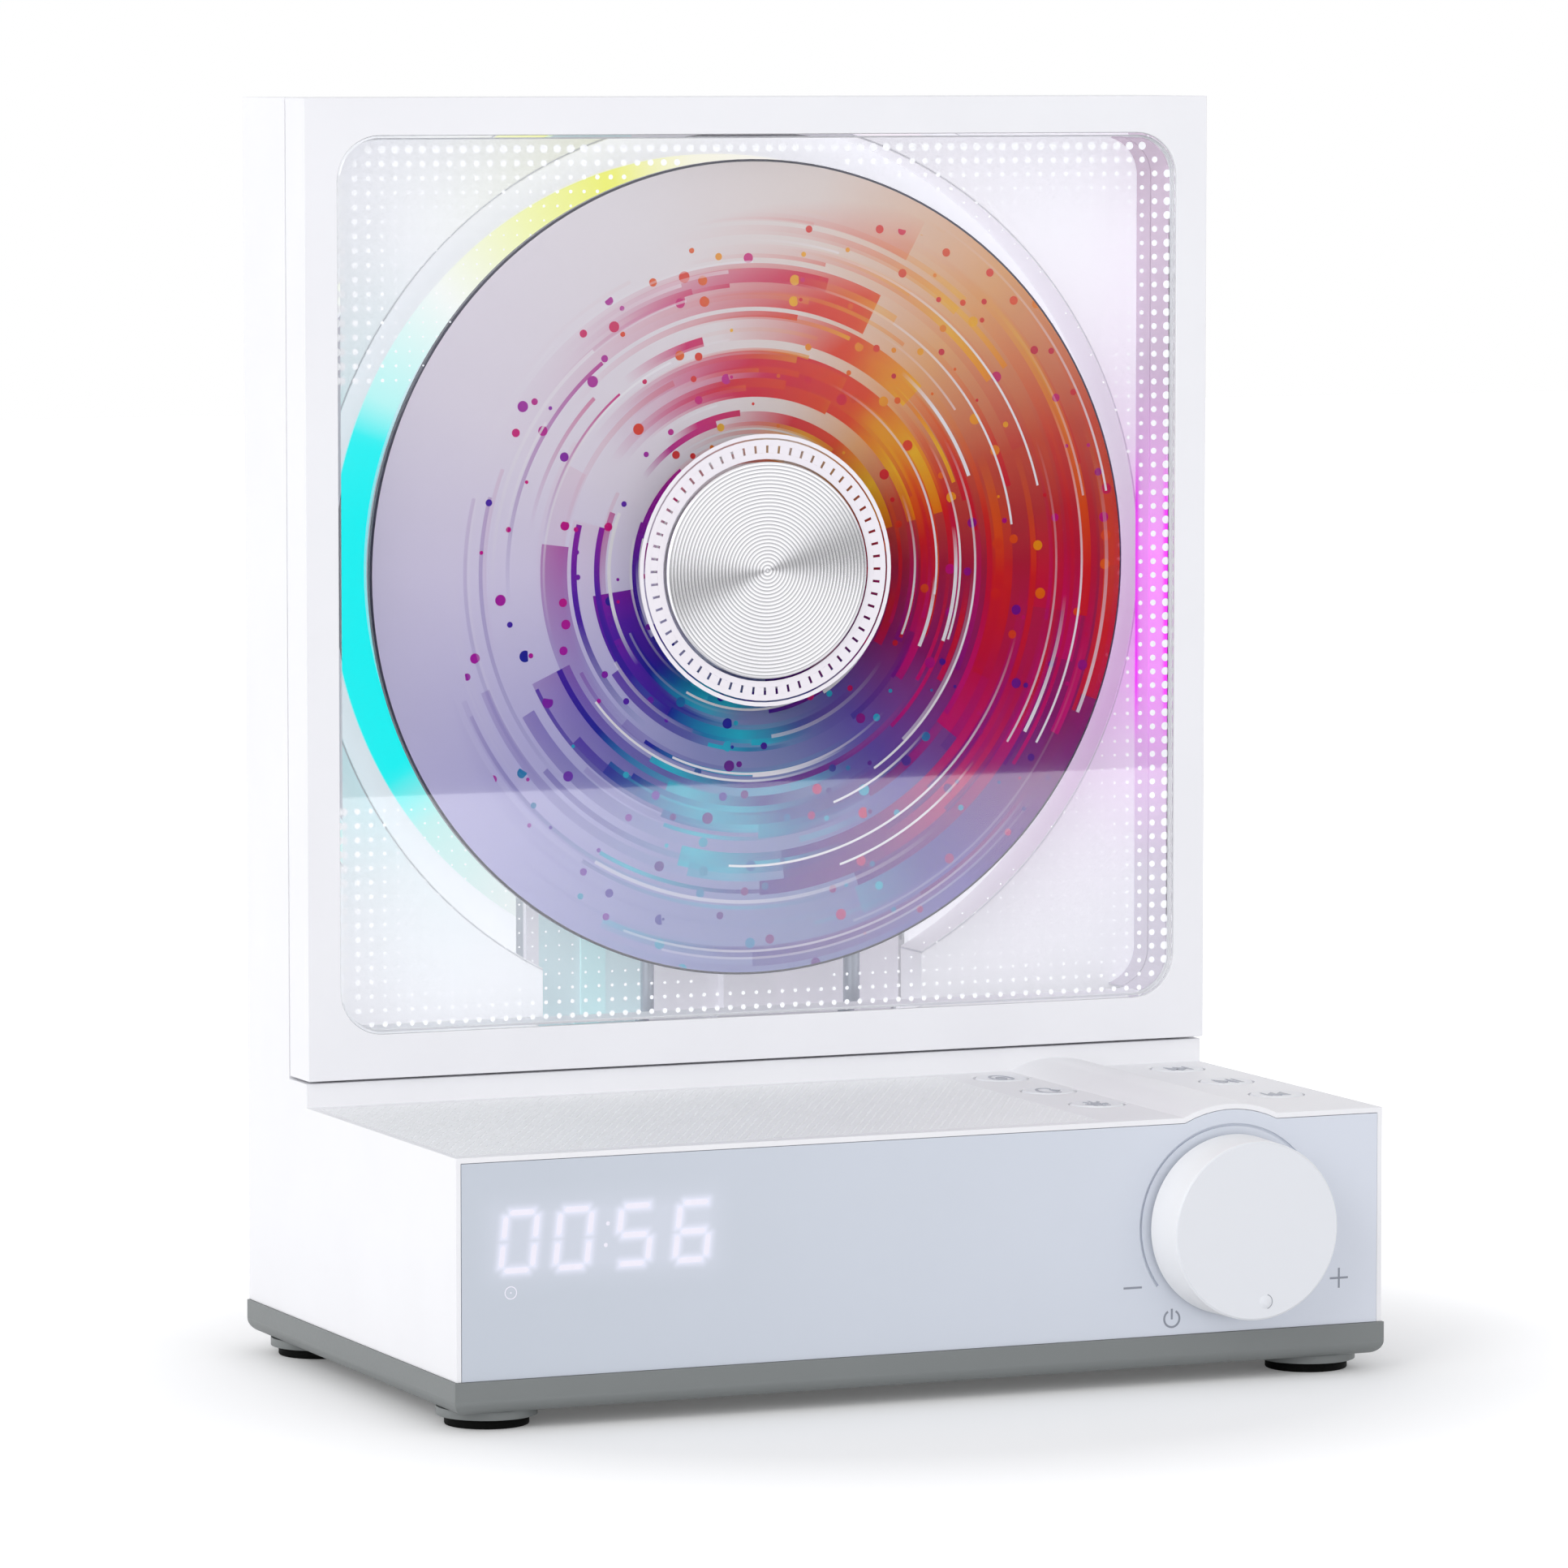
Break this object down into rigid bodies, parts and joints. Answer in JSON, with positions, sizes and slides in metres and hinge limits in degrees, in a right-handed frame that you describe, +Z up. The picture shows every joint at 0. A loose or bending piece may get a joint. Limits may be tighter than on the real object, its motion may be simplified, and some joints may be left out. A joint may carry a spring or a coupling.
{
  "type": "desktop disc player",
  "caption": "Upright desktop disc player: low console with volume knob, keys and speakers, and a windowed side-hinged door over a vertical disc on a spindle.",
  "frame": {"origin": "on the table under the feet, at the centre of the whole object's box", "axes": "+X to the right seen from the front, -Y the front with the knob, +Z up"},
  "size_m": [0.1436, 0.094, 0.1834],
  "materials": {
    "white_shell": "fine matt white moulding",
    "white_door": "satin white moulding",
    "grey_base": "matt warm grey moulding",
    "black_rubber": "matt black rubber",
    "panel_frost": "frosted pale blue grey sheet",
    "knob_white": "satin pale moulding",
    "key_white": "matt white moulding",
    "grille_white": "white painted perforated sheet",
    "clear_pane": "clear acrylic with a white dot print",
    "turned_aluminium": "face-turned fine rings",
    "disc_print": "printed silver lavender polycarbonate",
    "milky_light": "milky light guide",
    "bright_steel": "bright steel",
    "zinc_plate": "zinc plated sheet",
    "black_moulding": "matt black moulding",
    "board_green": "lacquered board",
    "board_white": "white lacquered board",
    "cell_wrap": "shrink sleeve",
    "paper_cone": "pressed paper and rubber roll",
    "magnet_grey": "sintered magnet",
    "ribbon_film": "pale blue film",
    "lens_glass": "coated lens"
  },
  "bodies": {
    "case": {"main_housing": "white_shell", "rear_cover": "white_shell", "base_plate": "grey_base", "foot_pads": "black_rubber", "case_screws": "bright_steel", "front_panel": "panel_frost", "display_module": "black_moulding", "encoder_body": "zinc_plate", "encoder_nut": "bright_steel", "key_board": "board_green", "tact_switches": "black_moulding", "speaker_grille": "grille_white", "speaker_baskets": "black_moulding", "speaker_magnets": "magnet_grey", "main_board": "board_green", "battery_holder": "black_moulding", "battery_cell": "cell_wrap", "charging_socket": "bright_steel", "audio_jack": "black_moulding", "deck_plate": "white_shell", "light_guide": "milky_light", "led_board": "board_white", "mechanism_plate": "zinc_plate", "damper_bushes": "black_rubber", "spindle_motor": "bright_steel", "guide_rod": "bright_steel", "sled_motor": "zinc_plate", "pickup_ribbon": "ribbon_film", "hinge_brackets": "zinc_plate", "housing_magnets": "magnet_grey"},
    "door": {"door_frame": "white_door", "door_window": "clear_pane", "hub_cap": "turned_aluminium", "clamp_retainer": "white_door", "hinge_pins": "bright_steel", "door_magnets": "magnet_grey"},
    "clamp": {"clamp_spool": "white_door", "clamp_magnet": "magnet_grey"},
    "spindle": {"spindle_shaft": "bright_steel", "turntable": "black_moulding", "turntable_mat": "black_rubber", "disc": "disc_print"},
    "sled": {"pickup_sled": "black_moulding"},
    "lens": {"lens_holder": "black_moulding", "objective_lens": "lens_glass"},
    "lead": {"lead_screw": "bright_steel"},
    "push": {"encoder_plunger": "bright_steel"},
    "knob": {"volume_knob": "knob_white", "encoder_shaft": "bright_steel"},
    "cone_left": {"speaker_cone_left": "paper_cone"},
    "cone_right": {"speaker_cone_right": "paper_cone"},
    "key_mode": {"key_mode": "key_white"},
    "key_repeat": {"key_repeat": "key_white"},
    "key_light": {"key_light": "key_white"},
    "key_next": {"key_next": "key_white"},
    "key_play": {"key_play": "key_white"},
    "key_previous": {"key_previous": "key_white"}
  },
  "joints": [
    {"name": "door_hinge", "type": "hinge", "parent": "case", "child": "door", "pos_m": [0.0683, 0.02555, 0.1129], "axis": [0, 0, 1], "range_deg": [0, 90]},
    {"name": "disc_spin", "type": "hinge", "parent": "case", "child": "spindle", "pos_m": [0, 0.02645, 0.11435], "axis": [0, 1, 0], "continuous": true},
    {"name": "clamp_spin", "type": "hinge", "parent": "door", "child": "clamp", "pos_m": [0, 0.02645, 0.11435], "axis": [0, 1, 0], "continuous": true},
    {"name": "sled_slide", "type": "slide", "parent": "case", "child": "sled", "axis": [0, 0, -1], "range_m": [0, 0.034]},
    {"name": "lead_turn", "type": "hinge", "parent": "case", "child": "lead", "pos_m": [0.02, 0.03595, 0.07], "axis": [0, 0, 1], "range_deg": [-5, 4090]},
    {"name": "lens_focus", "type": "slide", "parent": "sled", "child": "lens", "axis": [0, 1, 0], "range_m": [-0.0004, 0.0004], "stiffness_N_per_m": 20},
    {"name": "knob_press", "type": "slide", "parent": "case", "child": "push", "axis": [0, 1, 0], "range_m": [0, 0.0005], "stiffness_N_per_m": 600},
    {"name": "knob_turn", "type": "hinge", "parent": "push", "child": "knob", "pos_m": [0.0472, -0.042, 0.0229], "axis": [0, 1, 0], "continuous": true},
    {"name": "key_mode_press", "type": "slide", "parent": "case", "child": "key_mode", "axis": [0, 0, -1], "range_m": [0, 0.0006], "stiffness_N_per_m": 300},
    {"name": "key_repeat_press", "type": "slide", "parent": "case", "child": "key_repeat", "axis": [0, 0, -1], "range_m": [0, 0.0006], "stiffness_N_per_m": 300},
    {"name": "key_light_press", "type": "slide", "parent": "case", "child": "key_light", "axis": [0, 0, -1], "range_m": [0, 0.0006], "stiffness_N_per_m": 300},
    {"name": "key_next_press", "type": "slide", "parent": "case", "child": "key_next", "axis": [0, 0, -1], "range_m": [0, 0.0006], "stiffness_N_per_m": 300},
    {"name": "key_play_press", "type": "slide", "parent": "case", "child": "key_play", "axis": [0, 0, -1], "range_m": [0, 0.0006], "stiffness_N_per_m": 300},
    {"name": "key_previous_press", "type": "slide", "parent": "case", "child": "key_previous", "axis": [0, 0, -1], "range_m": [0, 0.0006], "stiffness_N_per_m": 300},
    {"name": "cone_left_stroke", "type": "slide", "parent": "case", "child": "cone_left", "axis": [0, 0, 1], "range_m": [-0.0008, 0.0008], "stiffness_N_per_m": 800},
    {"name": "cone_right_stroke", "type": "slide", "parent": "case", "child": "cone_right", "axis": [0, 0, 1], "range_m": [-0.0008, 0.0008], "stiffness_N_per_m": 800}
  ],
  "couplings": [
    {"joint": "clamp_spin", "follows": "disc_spin", "ratio": 1},
    {"joint": "lead_turn", "follows": "sled_slide", "rad_per_m": 2094.4}
  ]
}
